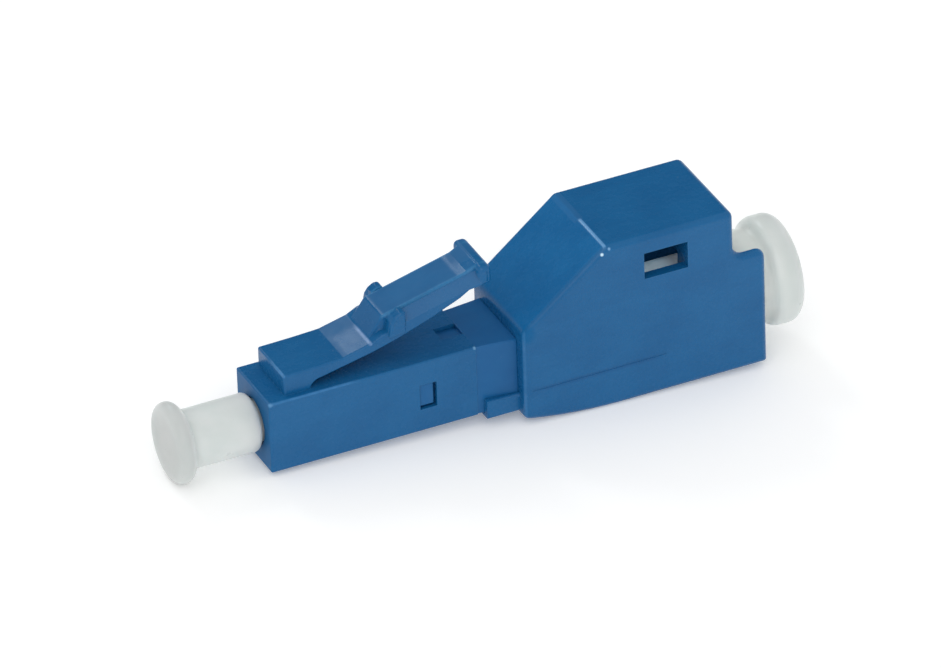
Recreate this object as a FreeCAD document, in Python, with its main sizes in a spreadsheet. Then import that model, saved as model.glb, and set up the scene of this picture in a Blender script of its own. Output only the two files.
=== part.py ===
import FreeCAD, Part
import os
import Sketcher

# Plug-in fibre optic attenuator.  Millimetres.
# Origin: centre of the plug's front face, on the optical axis.
# +X runs along the optical axis from the plug to the port, +Z points up to the latch side.

V = FreeCAD.Vector
doc = FreeCAD.newDocument("attenuator")

DIMS = [
    # plug
    ("plug_w", 4.42), ("plug_hgt", 4.52), ("plug_len", 12.65), ("plug_fil", 0.11),
    ("nose_rad", 1.42), ("nose_depth", 5.0), ("web_end", 5.8), ("web_rad", 1.0),
    ("core_w", 3.6), ("core_hgt", 3.62),
    ("snap_x0", 9.15), ("snap_x1", 10.2), ("snap_z0", -0.85), ("snap_z1", 0.75),
    ("key_x0", 11.3), ("key_w", 1.2),
    # latch
    ("latch_w", 3.5), ("root_x0", 1.15), ("split_x", 3.2), ("split_zb", 2.72), ("split_zt", 3.58),
    ("root_zt", 3.54), ("under_x1", 2.8), ("under_x2", 2.87), ("under_z2", 2.46), ("under_x3", 3.02), ("under_z3", 2.63),
    ("la_x1", 4.85), ("la_z1", 3.65), ("la_x2", 6.55), ("la_z2", 4.06), ("la_x3", 7.25), ("la_z3", 4.42), ("lock_x", 8.66), ("lock_z", 4.57),
    ("lock_zb", 4.065), ("arm_z0", 5.434), ("arm_z1", 6.722), ("arm_cham", 0.58),
    ("bar_x1", 13.66), ("bar_z1", 6.06), ("lb_x1", 13.2), ("lb_z1", 5.87), ("lb_x2", 12.6), ("lb_z2", 5.8),
    ("lb_x3", 11.76), ("lb_z3", 5.26), ("lb_x4", 10.2), ("lb_z4", 4.61), ("lb_x5", 8.28), ("lb_z5", 3.93),
    ("lb_x6", 6.6), ("lb_z6", 3.45), ("lb_x7", 4.58), ("lb_z7", 3.01),
    ("rib_w", 2.4), ("rib_x1", 7.48), ("rib_z1", 5.28), ("rib_x2", 12.72), ("rib_z2", 6.63), ("rib_x3", 13.34), ("rib_z3", 6.96), ("rib_fil", 0.12), ("rib_crest", 0.2),
    ("ear_w", 3.8), ("ear_in", 2.3), ("ear_x0", 7.6), ("ear_x1", 7.74), ("ear_z1", 5.08), ("ear_x2", 7.96), ("ear_z2", 5.39), ("ear_x3", 8.32), ("ear_zt", 5.6), ("ear_fil", 0.2), ("ear_crest", 0.14),
    ("latch_fil", 0.12), ("knob_x0", 13.2), ("knob_x1", 14.02), ("knob_w", 3.54), ("knob_zb", 5.79), ("knob_zt", 6.98), ("knob_fil", 0.3),
    # inner body
    ("tube_x0", 8.9), ("tube_w", 3.5), ("tube_hgt", 3.52), ("neck_w", 4.34), ("neck_rw", 4.88), ("neck_hgt", 4.44), ("neck_fil", 0.12),
    ("lug_x0", 9.18), ("lug_x1", 10.0), ("lug_z0", -0.64), ("lug_z1", 0.7), ("lug_w", 4.26),
    ("keyr_x0", 11.32), ("keyr_w", 1.17), ("keyr_zt", 2.01),
    ("spig_w", 3.9), ("spig_hgt", 4.0), ("spig_x1", 15.55),
    ("spring_bore", 1.45), ("seat_x0", 12.3), ("seat_x1", 13.05), ("seat_rad", 0.8), ("hold_bore", 1.5),
    # rear housing
    ("body_w", 6.75), ("body_x0", 15.05), ("body_x1", 30.15), ("belly_z", -2.72), ("belly_x", 21.0), ("floor_z", -3.35),
    ("step_x", 28.2), ("step_z", 4.15), ("top_z", 7.2), ("slope_x", 20.2), ("slope_z", 3.05),
    ("fil_top", 0.42), ("fil_front", 0.7), ("fil_in", 0.65), ("fil_out", 0.6), ("fil_edge", 0.38), ("fil_rear", 0.14),
    ("pock_w", 4.0), ("pock_hgt", 4.1), ("pock_x1", 15.95), ("port_x0", 16.55), ("port_w", 4.6), ("port_zt", 2.33), ("port_zb", -2.33),
    ("skirt_in", 5.95), ("tun_w", 4.0), ("tun_nw", 2.8), ("bay_w", 5.45), ("bay_z0", 3.8), ("tun_x0", 17.3), ("tun_z0", 4.0), ("roof_z", 6.6),
    ("catch_z0", 4.72), ("catch_z1", 5.5),
    ("win_x0", 22.6), ("win_x1", 25.3), ("win_z0", 4.43), ("win_z1", 6.1),
    ("crad_x0", 13.05), ("crad_w", 5.4), ("crad_zb", -2.42), ("crad_zt", -1.28), ("crad_gap", 0.03), ("crad_fil", 0.2),
    ("line_x0", 15.55), ("line_x1", 23.8), ("line_z", -0.91), ("line_hgt", 0.16), ("line_dep", 0.03),
    # ferrule group
    ("fer_rad", 0.6245), ("fer_x0", -0.4), ("fer_x1", 16.4), ("fer_cham", 0.16), ("fer_taper", 0.45), ("fib_rad", 0.0625),
    ("hex_rad", 1.42), ("hex_len", 1.2), ("flan_rad", 1.0), ("flan_x1", 8.2),
    ("wire_rad", 0.16), ("coil_rad", 1.22), ("coil_turns", 7.0),
    # sleeve group
    ("slv_in", 0.6345), ("slv_out", 0.81), ("slv_x0", 13.1), ("slv_x1", 19.4), ("slv_slot", 0.3),
    ("hold_in", 0.82), ("hold_out", 1.45), ("hold_x1", 19.8), ("hold_lip", 19.45), ("hold_mouth", 0.7), ("hold_flan", 1.9), ("hold_cham", 0.25),
    # front cap
    ("fc_x0", -5.37), ("fc_x1", -4.33), ("fc_rad", 2.37), ("fc_rim", 0.5), ("fc_bar", 1.71), ("fc_shx", -0.14), ("fc_bead", 0.32), ("fc_tube", 1.25),
    ("fc_end", 4.0), ("fc_bore", 0.66), ("fc_bend", -1.2), ("fc_root", 0.22), ("fc_lead", 0.2),
    # rear plug
    ("rc_z", 0.44), ("rc_x0", 23.95), ("rc_bar", 2.26), ("rc_cx0", 28.25), ("rc_col", 2.7), ("rc_hx0", 30.85), ("rc_slant", 0.45), ("rc_hx1", 32.8),
    ("rc_head", 3.19), ("rc_rim", 0.6), ("rc_rimf", 0.7), ("rc_root", 0.6), ("rc_bore", 1.6), ("rc_bend", 30.2), ("rc_lead", 0.25),
]
D = dict(DIMS)

sheet = doc.addObject("Spreadsheet::Sheet", "dims")
for i, (alias, value) in enumerate(DIMS):
    sheet.set("A%d" % (i + 1), alias)
    sheet.set("B%d" % (i + 1), repr(value))
    sheet.setAlias("B%d" % (i + 1), alias)
doc.recompute()


def value_of(expr):
    """Number for a sum of dimension names and numbers, such as 'body_x0 - 0.2 + 0.5*plug_w'."""
    total, sign = 0.0, 1.0
    for tok in str(expr).split():
        if tok in "+-":
            sign = 1.0 if tok == "+" else -1.0
            continue
        part = 1.0
        for f in tok.split("*"):
            neg = f.startswith("-")
            f = f.lstrip("-")
            x = D[f] if f in D else float(f)
            part *= -x if neg else x
        total += sign * part
        sign = 1.0
    return total


def bound(expr):
    """The same sum written as a document expression."""
    out = []
    for tok in str(expr).split():
        if tok in "+-":
            out.append(tok)
            continue
        fs = []
        for f in tok.split("*"):
            neg = f.startswith("-")
            f = f.lstrip("-")
            f = "dims." + f if f in D else f
            fs.append("(-1)*" + f if neg else f)
        out.append("*".join(fs))
    return " ".join(out)


def box(name, x0, x1, y0, y1, z0, z1):
    o = doc.addObject("Part::Box", name)
    for prop, a, b in (("Length", x0, x1), ("Width", y0, y1), ("Height", z0, z1)):
        o.setExpression(prop, "(%s) - (%s)" % (bound(b), bound(a)))
    for ax, a in (("x", x0), ("y", y0), ("z", z0)):
        o.setExpression(".Placement.Base." + ax, bound(a))
    return o


def rod(name, x0, x1, rad, sides=0):
    """Round (or prismatic) bar along X."""
    if sides:
        o = doc.addObject("Part::Prism", name)
        o.Polygon = sides
        o.setExpression("Circumradius", bound(rad))
    else:
        o = doc.addObject("Part::Cylinder", name)
        o.setExpression("Radius", bound(rad))
    o.setExpression("Height", "(%s) - (%s)" % (bound(x1), bound(x0)))
    o.Placement = FreeCAD.Placement(V(value_of(x0), 0, 0), FreeCAD.Rotation(V(0, 1, 0), 90))
    o.setExpression(".Placement.Base.x", bound(x0))
    return o


def fuse(name, parts):
    o = doc.addObject("Part::MultiFuse", name)
    o.Shapes = parts
    o.Refine = True
    return o


def cut(name, base, tool):
    o = doc.addObject("Part::Cut", name)
    o.Base = base
    o.Tool = tool
    return o


def new_body(name):
    return doc.addObject("PartDesign::Body", name)


def plane_of(body, role):
    return [o for o in body.Origin.OriginFeatures if o.Role == role][0]


def outline(body, name, verts, role="XZ_Plane", arc_side=None):
    """Closed sketch through verts (pairs of sums), every corner placed by the sheet.
    arc_side: index of a side drawn as an arc that runs tangent into the next side."""
    sk = body.newObject("Sketcher::SketchObject", name)
    sk.AttachmentSupport = [(plane_of(body, role), "")]
    sk.MapMode = "FlatFace"
    pts = [V(value_of(a), value_of(b), 0) for a, b in verts]
    n = len(pts)
    ends = []
    for i in range(n):
        p, q = pts[i], pts[(i + 1) % n]
        if i == arc_side:
            # tangent to the horizontal at q
            rad = ((q.x - p.x) ** 2 + (p.y - q.y) ** 2) / (2.0 * (p.y - q.y))
            ctr = V(q.x, q.y + rad, 0)
            mid = (p - ctr) + (q - ctr)
            mid = ctr + mid * (rad / mid.Length)
            g = sk.addGeometry(Part.Arc(p, mid, q), False)
        else:
            g = sk.addGeometry(Part.LineSegment(p, q), False)
        s = sk.Geometry[g].StartPoint
        ends.append((1, 2) if (s - p).Length < (s - q).Length else (2, 1))
    for i in range(n):
        j = (i + 1) % n
        if i == arc_side:
            sk.addConstraint(Sketcher.Constraint("Tangent", i, ends[i][1], j, ends[j][0]))
        else:
            sk.addConstraint(Sketcher.Constraint("Coincident", i, ends[i][1], j, ends[j][0]))
    for i, (a, b) in enumerate(verts):
        for kind, axis, e in (("DistanceX", -2, a), ("DistanceY", -1, b)):
            if i != 0 and arc_side is not None and i == arc_side + 1 and kind == "DistanceY":
                pass
            if value_of(e) == 0.0:
                sk.addConstraint(Sketcher.Constraint("PointOnObject", i, ends[i][0], axis))
            else:
                k = sk.addConstraint(Sketcher.Constraint(kind, -1, 1, i, ends[i][0], value_of(e)))
                sk.setExpression("Constraints[%d]" % k, bound(e))
    doc.recompute()
    return sk


def symmetric(feature):
    if "SideType" in feature.PropertiesList:
        feature.SideType = "Symmetric"
    else:
        feature.Midplane = True


def pad(body, name, sk, length):
    f = body.newObject("PartDesign::Pad", name)
    f.Profile = sk
    f.setExpression("Length", bound(length))
    symmetric(f)
    body.Tip = f
    doc.recompute()
    return f


def turn(body, name, sk):
    f = body.newObject("PartDesign::Revolution", name)
    f.Profile = sk
    f.ReferenceAxis = (sk, ["H_Axis"])
    f.Angle = 360.0
    body.Tip = f
    doc.recompute()
    return f


def round_edges(body, name, base, radius, pick):
    names = ["Edge%d" % (i + 1) for i, e in enumerate(base.Shape.Edges) if pick(e)]
    f = body.newObject("PartDesign::Fillet", name)
    f.Base = (base, names)
    f.setExpression("Radius", bound(radius))
    body.Tip = f
    doc.recompute()
    return f


def across(x, z, tol=1e-4):
    """Edges that run along Y at (x, z)."""
    def pick(e):
        return all(abs(v.X - x) < tol and abs(v.Z - z) < tol for v in e.Vertexes) and len(e.Vertexes) == 2
    return pick


def on_side(half, skip_x=None, tol=1e-4):
    """Edges that lie in the planes y = +half and y = -half."""
    def pick(e):
        pts = [v.Point for v in e.Vertexes] + [e.valueAt(0.5 * (e.FirstParameter + e.LastParameter))]
        if not all(abs(abs(p.y) - half) < tol for p in pts):
            return False
        if skip_x is not None and all(abs(p.x - skip_x) < tol for p in pts):
            return False
        return True
    return pick


# ---------------------------------------------------------------- rear housing
b = new_body("rear_shell")
sk = outline(b, "rear_profile", [
    ("body_x0", "belly_z"), ("belly_x", "floor_z"), ("body_x1", "floor_z"), ("body_x1", "step_z"),
    ("step_x", "step_z"), ("step_x", "top_z"), ("slope_x", "top_z"), ("body_x0", "slope_z")], arc_side=0)
f = pad(b, "rear_pad", sk, "body_w")
f = round_edges(b, "rear_inner_round", f, "fil_in", across(D["step_x"], D["step_z"]))
f = round_edges(b, "rear_outer_round", f, "fil_out", across(D["body_x1"], D["step_z"]))
f = round_edges(b, "rear_front_round", f, "fil_front", across(D["body_x0"], D["slope_z"]))
top_edges = [across(D["slope_x"], D["top_z"]), across(D["step_x"], D["top_z"]), across(D["body_x0"], D["belly_z"])]
f = round_edges(b, "rear_top_round", f, "fil_top", lambda e: any(p(e) for p in top_edges))
f = round_edges(b, "rear_low_round", f, "fil_rear", across(D["body_x1"], D["floor_z"]))
f = round_edges(b, "rear_side_round", f, "fil_edge", on_side(0.5 * D["body_w"]))
rear_shell = b

# low cradle under the neck
b = new_body("cradle_in")
sk = outline(b, "cradle_plan", [("plug_len", "-0.5*neck_w - crad_gap"), ("body_x0", "-0.5*neck_rw - crad_gap"), ("body_x0", "0.5*neck_rw + crad_gap"), ("plug_len", "0.5*neck_w + crad_gap")], role="XY_Plane")
pad(b, "cradle_space", sk, "neck_hgt + 2*crad_gap")
cradle = cut("cradle", box("cradle_out", "crad_x0", "body_x0 + 0.6", "-0.5*crad_w", "0.5*crad_w", "crad_zb", "crad_zt"), b)
doc.recompute()
cradle_f = doc.addObject("Part::Fillet", "cradle_round")
cradle_f.Base = cradle
cradle_f.Edges = [(i + 1, D["crad_fil"], D["crad_fil"]) for i, e in enumerate(cradle.Shape.Edges)
                  if all(v.X < D["body_x0"] + 0.7 for v in e.Vertexes)
                  and all(abs(abs(v.Y) - 0.5 * D["crad_w"]) < 1e-4 for v in e.Vertexes)
                  and abs(e.Vertexes[0].Y - e.Vertexes[-1].Y) < 1e-4
                  and not all(abs(v.X - D["body_x0"] - 0.6) < 1e-4 for v in e.Vertexes)]

# latch tunnel: low nose, window bay, narrow slot with catches, flared mouth
mouth = new_body("tunnel_mouth")
sk = outline(mouth, "mouth_profile", [("win_x1 - 0.1", "port_zt - 0.1"), ("step_x + 0.5", "port_zt - 0.1"), ("step_x + 0.5", "catch_z1 + 0.13"),
                                     ("win_x1 - 0.1", "catch_z0")])
pad(mouth, "mouth_pad", sk, "tun_w")
inside = fuse("rear_hollow", [
    box("front_pocket", "body_x0 - 1", "pock_x1", "-0.5*pock_w", "0.5*pock_w", "-0.5*pock_hgt", "0.5*pock_hgt"),
    rod("holder_hole", "pock_x1 - 0.2", "port_x0 + 0.2", "hold_bore"),
    box("port", "port_x0", "body_x1 + 1", "-0.5*port_w", "0.5*port_w", "port_zb", "port_zt"),
    box("skirt_space", "step_x", "body_x1 + 1", "-0.5*skirt_in", "0.5*skirt_in", "port_zb", "top_z + 1"),
    box("tunnel_nose", "tun_x0", "win_x0 + 0.1", "-0.5*tun_w", "0.5*tun_w", "port_zt - 0.1", "tun_z0"),
    box("tunnel_bay", "win_x0", "win_x1", "-0.5*tun_w", "0.5*tun_w", "port_zt - 0.1", "roof_z"),
    box("window_bay", "win_x0", "win_x1", "-0.5*bay_w", "0.5*bay_w", "bay_z0", "roof_z"),
    box("tunnel_slot", "win_x1 - 0.1", "step_x + 0.5", "-0.5*tun_nw", "0.5*tun_nw", "port_zt - 0.1", "roof_z"),
    mouth,
    box("side_windows", "win_x0", "win_x1", "-0.5*body_w - 1", "0.5*body_w + 1", "win_z0", "win_z1"),
    box("side_line_n", "line_x0", "line_x1", "-0.5*body_w - 1", "-0.5*body_w + line_dep", "line_z", "line_z + line_hgt"),
    box("side_line_f", "line_x0", "line_x1", "0.5*body_w - line_dep", "0.5*body_w + 1", "line_z", "line_z + line_hgt"),
])
rear = cut("rear_cut", fuse("rear_solid", [rear_shell, cradle_f]), inside)
rear.Label = "rear_housing"

# ---------------------------------------------------------------- plug housing
b = new_body("plug_shell")
sk = outline(b, "plug_section", [("-0.5*plug_w", "-0.5*plug_hgt"), ("0.5*plug_w", "-0.5*plug_hgt"), ("0.5*plug_w", "0.5*plug_hgt"), ("-0.5*plug_w", "0.5*plug_hgt")], role="YZ_Plane")
f = b.newObject("PartDesign::Pad", "plug_pad")
f.Profile = sk
f.setExpression("Length", bound("plug_len"))
b.Tip = f
doc.recompute()
if f.Shape.BoundBox.XMax < 1.0:
    f.Reversed = True
    doc.recompute()
f = round_edges(b, "plug_round", f, "plug_fil", lambda e: not all(abs(v.X - D["plug_len"]) < 1e-4 for v in e.Vertexes))
plug_shell = b

b = new_body("latch_root")
sk = outline(b, "root_profile", [("root_x0", "0.5*plug_hgt - 0.3"), ("under_x1", "0.5*plug_hgt - 0.3"), ("under_x1", "0.5*plug_hgt"), ("under_x2", "under_z2"),
                                ("under_x3", "under_z3"), ("split_x", "split_zb"), ("split_x", "split_zt"), ("root_x0", "root_zt")])
f = pad(b, "root_pad", sk, "latch_w")
f = round_edges(b, "root_round", f, "latch_fil", lambda e: (across(D["root_x0"], D["root_zt"])(e) or on_side(0.5 * D["latch_w"], D["split_x"])(e))
                and not all(abs(v.Z - 0.5 * D["plug_hgt"] + 0.3) < 1e-4 for v in e.Vertexes))
latch_root = b

hollow = fuse("plug_hollow", [
    rod("nose_hole", "-1", "nose_depth", "nose_rad"),
    rod("web_hole", "nose_depth - 0.2", "web_end + 0.2", "web_rad"),
    box("core_space", "web_end", "plug_len + 1", "-0.5*core_w", "0.5*core_w", "-0.5*core_hgt", "0.5*core_hgt"),
    box("snap_windows", "snap_x0", "snap_x1", "-0.5*plug_w - 1", "0.5*plug_w + 1", "snap_z0", "snap_z1"),
    box("key_notch", "key_x0", "plug_len + 1", "-0.5*key_w", "0.5*key_w", "0", "0.5*plug_hgt + 0.5"),
])
plug = cut("plug_cut", fuse("plug_solid", [plug_shell, latch_root]), hollow)
plug.Label = "plug_housing"

# ---------------------------------------------------------------- latch arm
# thin full-width bar from the root to the locking ears
b = new_body("latch_bar")
sk = outline(b, "latch_profile", [
    ("split_x", "split_zb"), ("lb_x7", "lb_z7"), ("lb_x6", "lb_z6"), ("lb_x5", "lb_z5"), ("lock_x", "lock_zb"),
    ("lock_x", "lock_z"), ("la_x3", "la_z3"), ("la_x2", "la_z2"), ("la_x1", "la_z1"), ("split_x", "split_zt")])
f = pad(b, "latch_pad", sk, "latch_w")
f = round_edges(b, "latch_side_round", f, "latch_fil", lambda e: on_side(0.5 * D["latch_w"], D["split_x"])(e) and on_side(0.5 * D["latch_w"], D["lock_x"])(e))
latch_bar = b

# stiff pressing arm from the ears to the thumb lip, with bevelled flanks
b = new_body("latch_press")
sk = outline(b, "press_profile", [
    ("lock_x", "lock_zb"), ("lb_x4", "lb_z4"), ("lb_x3", "lb_z3"), ("lb_x2", "lb_z2"), ("lb_x1", "lb_z1"), ("bar_x1", "bar_z1"),
    ("bar_x1", "arm_z1"), ("lock_x", "arm_z0")])
f = pad(b, "press_pad", sk, "latch_w")
flank = b.newObject("PartDesign::Chamfer", "press_flanks")
flank.Base = (f, ["Edge%d" % (i + 1) for i, e in enumerate(f.Shape.Edges) if on_side(0.5 * D["latch_w"])(e)
                  and all(min(abs(v.Z - D["arm_z0"]), abs(v.Z - D["arm_z1"])) < 1e-4 for v in e.Vertexes)])
flank.setExpression("Size", bound("arm_cham"))
b.Tip = flank
doc.recompute()
low = (("lock_x", "lock_zb"), ("lb_x4", "lb_z4"), ("lb_x3", "lb_z3"))
round_edges(b, "press_low_round", flank, "latch_fil", lambda e: on_side(0.5 * D["latch_w"])(e)
            and all(any(abs(v.X - D[x]) + abs(v.Z - D[z]) < 1e-4 for x, z in low) for v in e.Vertexes))
latch_press = b

# rounded thumb lip across the end of the bar
b = new_body("latch_knob")
sk = outline(b, "knob_profile", [("knob_x0", "knob_zb"), ("knob_x1", "knob_zb"), ("knob_x1", "knob_zt"), ("knob_x0", "knob_zt")])
f = pad(b, "knob_pad", sk, "knob_w")
f = round_edges(b, "knob_round", f, "knob_fil", lambda e: True)
latch_knob = b

# narrower raised panel with a ramp in front
b = new_body("latch_rib")
sk = outline(b, "rib_profile", [
    ("la_x2 - 0.1", "la_z2 - 0.25"), ("lb_x5", "lb_z5 + 0.2"), ("lb_x3", "lb_z3 + 0.2"), ("bar_x1", "bar_z1 + 0.1"), ("bar_x1", "rib_z3"), ("rib_x3", "rib_z3"),
    ("rib_x2", "rib_z2"), ("rib_x1", "rib_z1"), ("la_x2", "la_z2 - 0.02")])
f = pad(b, "rib_pad", sk, "rib_w")
f = round_edges(b, "rib_crest_round", f, "rib_crest", lambda e: any(across(D[x], D[z])(e) for x, z in (("rib_x1", "rib_z1"), ("rib_x2", "rib_z2"), ("rib_x3", "rib_z3"))))
f = round_edges(b, "rib_side_round", f, "rib_fil", lambda e: on_side(0.5 * D["rib_w"])(e) and all(v.Z > D["la_z2"] + 0.05 for v in e.Vertexes)
                and not all(abs(v.X - D["bar_x1"]) < 1e-4 for v in e.Vertexes))
latch_rib = b


def ear(name, y0, y1):
    """Locking ear: ramped in front, square behind, between two Y planes."""
    q = new_body(name)
    s = outline(q, name + "_profile", [("ear_x0", "la_z3 - 0.2"), ("lock_x", "lock_z - 0.2"), ("lock_x", "ear_zt"), ("ear_x3", "ear_zt"), ("ear_x2", "ear_z2"), ("ear_x1", "ear_z1"), ("ear_x0", "la_z3")])
    g = q.newObject("PartDesign::Pad", name + "_pad")
    g.Profile = s
    g.setExpression("Length", "(%s) - (%s)" % (bound(y1), bound(y0)))
    q.Tip = g
    # the sketch plane's normal is -Y, so the prism hangs from its plane towards -Y
    q.setExpression(".Placement.Base.y", bound(y1))
    doc.recompute()
    span = value_of(y1) - value_of(y0)
    outer = 0.0 if value_of(y1) > 0 else -span
    g = round_edges(q, name + "_crest", g, "ear_crest", lambda e: any(across(D[x], D[z])(e) for x, z in (("lock_x", "ear_zt"), ("ear_x3", "ear_zt"), ("ear_x2", "ear_z2"), ("ear_x1", "ear_z1"))))
    round_edges(q, name + "_round", g, "ear_fil", lambda e: all(abs(v.Y - outer) < 1e-4 for v in e.Vertexes) and not all(v.Z < D["la_z3"] + 0.2 for v in e.Vertexes))
    return q


latch = fuse("latch_join", [latch_bar, latch_press, latch_knob, latch_rib, ear("ear_n", "-0.5*ear_w", "-0.5*ear_in"), ear("ear_f", "0.5*ear_in", "0.5*ear_w")])
latch.Label = "latch_arm"

# ---------------------------------------------------------------- inner body
b = new_body("neck_block")
sk = outline(b, "neck_plan", [("plug_len", "-0.5*neck_w"), ("body_x0", "-0.5*neck_rw"), ("body_x0", "0.5*neck_rw"), ("plug_len", "0.5*neck_w")], role="XY_Plane")
f = pad(b, "neck_pad", sk, "neck_hgt")
f = round_edges(b, "neck_round", f, "neck_fil", lambda e: len(e.Vertexes) == 2 and abs(e.Vertexes[0].X - e.Vertexes[1].X) > 1.0)
neck_block = b
inner = cut("inner_cut", fuse("inner_solid", [
    box("inner_tube", "tube_x0", "plug_len + 0.2", "-0.5*tube_w", "0.5*tube_w", "-0.5*tube_hgt", "0.5*tube_hgt"),
    neck_block,
    box("inner_lugs", "lug_x0", "lug_x1", "-0.5*lug_w", "0.5*lug_w", "lug_z0", "lug_z1"),
    box("inner_key", "keyr_x0", "plug_len + 0.1", "-0.5*keyr_w", "0.5*keyr_w", "0", "keyr_zt"),
    box("inner_spigot", "body_x0 - 0.2", "spig_x1", "-0.5*spig_w", "0.5*spig_w", "-0.5*spig_hgt", "0.5*spig_hgt"),
]), fuse("inner_hollow", [
    rod("spring_space", "tube_x0 - 1", "seat_x0", "spring_bore"),
    rod("seat_hole", "seat_x0 - 0.2", "seat_x1 + 0.2", "seat_rad"),
    rod("holder_space", "seat_x1", "spig_x1 + 1", "hold_bore"),
]))
inner.Label = "inner_body"

# ---------------------------------------------------------------- ferrule, fibre, flange, spring
b = new_body("ferrule_bar")
sk = outline(b, "ferrule_profile", [
    ("fer_x0", "fib_rad"), ("fer_x1", "fib_rad"), ("fer_x1", "fer_rad - fer_cham"), ("fer_x1 - fer_taper", "fer_rad"),
    ("fer_x0 + fer_taper", "fer_rad"), ("fer_x0", "fer_rad - fer_cham")])
turn(b, "ferrule_turn", sk)
b.Label = "ferrule"
ferrule = b
fibre = rod("fibre_bar", "fer_x0", "fer_x1", "fib_rad")
fibre.Label = "attenuating_fibre"
flange = cut("flange_cut", fuse("flange_solid", [rod("flange_hex", "web_end", "web_end + hex_len", "hex_rad", 6), rod("flange_tube", "web_end + 0.5*hex_len", "flan_x1", "flan_rad")]),
             rod("flange_hole", "web_end - 1", "flan_x1 + 1", "fer_rad"))
flange.Label = "ferrule_flange"

helix = doc.addObject("Part::Helix", "coil_path")
helix.setExpression("Radius", bound("coil_rad"))
helix.setExpression("Height", bound("seat_x0 - web_end - hex_len - 2*wire_rad"))
helix.setExpression("Pitch", "(%s) / dims.coil_turns" % bound("seat_x0 - web_end - hex_len - 2*wire_rad"))
helix.SegmentLength = 1.0
wire = doc.addObject("Part::Circle", "coil_wire")
wire.setExpression("Radius", bound("wire_rad"))
wire.Placement = FreeCAD.Placement(V(D["coil_rad"], 0, 0), FreeCAD.Rotation(V(1, 0, 0), 90))
wire.setExpression(".Placement.Base.x", bound("coil_rad"))
doc.recompute()
spring = doc.addObject("Part::Sweep", "coil_sweep")
spring.Sections = [wire]
spring.Spine = (helix, ["Edge%d" % (i + 1) for i in range(len(helix.Shape.Edges))])
spring.Solid = True
spring.Frenet = True
spring.Placement = FreeCAD.Placement(V(value_of("web_end + hex_len + wire_rad"), 0, 0), FreeCAD.Rotation(V(0, 1, 0), 90))
spring.setExpression(".Placement.Base.x", bound("web_end + hex_len + wire_rad"))
spring.Label = "ferrule_spring"

# ---------------------------------------------------------------- alignment sleeve and its holder
sleeve = cut("sleeve_cut", cut("sleeve_tube", rod("sleeve_out", "slv_x0", "slv_x1", "slv_out"), rod("sleeve_in", "slv_x0 - 1", "slv_x1 + 1", "slv_in")),
             box("sleeve_slot", "slv_x0 - 1", "slv_x1 + 1", "-0.5*slv_slot", "0.5*slv_slot", "0", "2"))
sleeve.Label = "split_sleeve"
b = new_body("holder_bar")
sk = outline(b, "holder_profile", [
    ("seat_x1", "hold_in"), ("hold_lip", "hold_in"), ("hold_lip", "hold_mouth"), ("hold_x1", "hold_mouth"), ("hold_x1", "hold_out - hold_cham"),
    ("hold_x1 - hold_cham", "hold_out"), ("pock_x1", "hold_out"), ("pock_x1", "hold_flan"), ("spig_x1", "hold_flan"), ("spig_x1", "hold_out"), ("seat_x1", "hold_out")])
turn(b, "holder_turn", sk)
b.Label = "sleeve_holder"
holder = b

# ---------------------------------------------------------------- dust caps
b = new_body("front_cap_body")
sk = outline(b, "front_cap_profile", [
    ("fc_x0", "0"), ("fc_bend", "0"), ("fc_bend", "fc_bore"), ("fc_end", "fc_bore"), ("fc_end", "fc_tube - fc_lead"), ("fc_end - fc_lead", "fc_tube"),
    ("fc_shx", "fc_tube"), ("fc_shx", "fc_bar"), ("fc_x1", "fc_bar"), ("fc_x1", "fc_rad"), ("fc_x0", "fc_rad")])
f = turn(b, "front_cap_turn", sk)


def ring(x, rad):
    """Circular edges about the X axis at x with this radius."""
    def pick(e):
        return e.Curve.TypeId == "Part::GeomCircle" and abs(e.Curve.Radius - rad) < 1e-4 and abs(e.Curve.Center.x - x) < 1e-4
    return pick


f = round_edges(b, "front_cap_rim", f, "fc_rim", lambda e: ring(D["fc_x0"], D["fc_rad"])(e) or ring(D["fc_x1"], D["fc_rad"])(e))
f = round_edges(b, "front_cap_root", f, "fc_root", ring(D["fc_x1"], D["fc_bar"]))
f = round_edges(b, "front_cap_bead", f, "fc_bead", ring(D["fc_shx"], D["fc_bar"]))
b.Label = "front_dust_cap"
front_cap = b

b = new_body("rear_cap_body")
sk = outline(b, "rear_cap_profile", [
    ("rc_x0", "rc_bore"), ("rc_bend", "rc_bore"), ("rc_bend", "0"), ("rc_hx1", "0"), ("rc_hx1", "rc_head"), ("rc_hx0 + rc_slant", "rc_head"), ("rc_hx0", "rc_col"),
    ("rc_cx0", "rc_col"), ("rc_cx0", "rc_bar"), ("rc_x0 + rc_lead", "rc_bar"), ("rc_x0", "rc_bar - rc_lead")])
f = turn(b, "rear_cap_turn", sk)
f = round_edges(b, "rear_cap_rim", f, "rc_rim", ring(D["rc_hx1"], D["rc_head"]))
f = round_edges(b, "rear_cap_rim_front", f, "rc_rimf", ring(D["rc_hx0"] + D["rc_slant"], D["rc_head"]))
f = round_edges(b, "rear_cap_root", f, "rc_root", ring(D["rc_hx0"], D["rc_col"]))
b.setExpression(".Placement.Base.z", bound("rc_z"))
b.Label = "rear_dust_plug"
rear_cap = b

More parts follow.
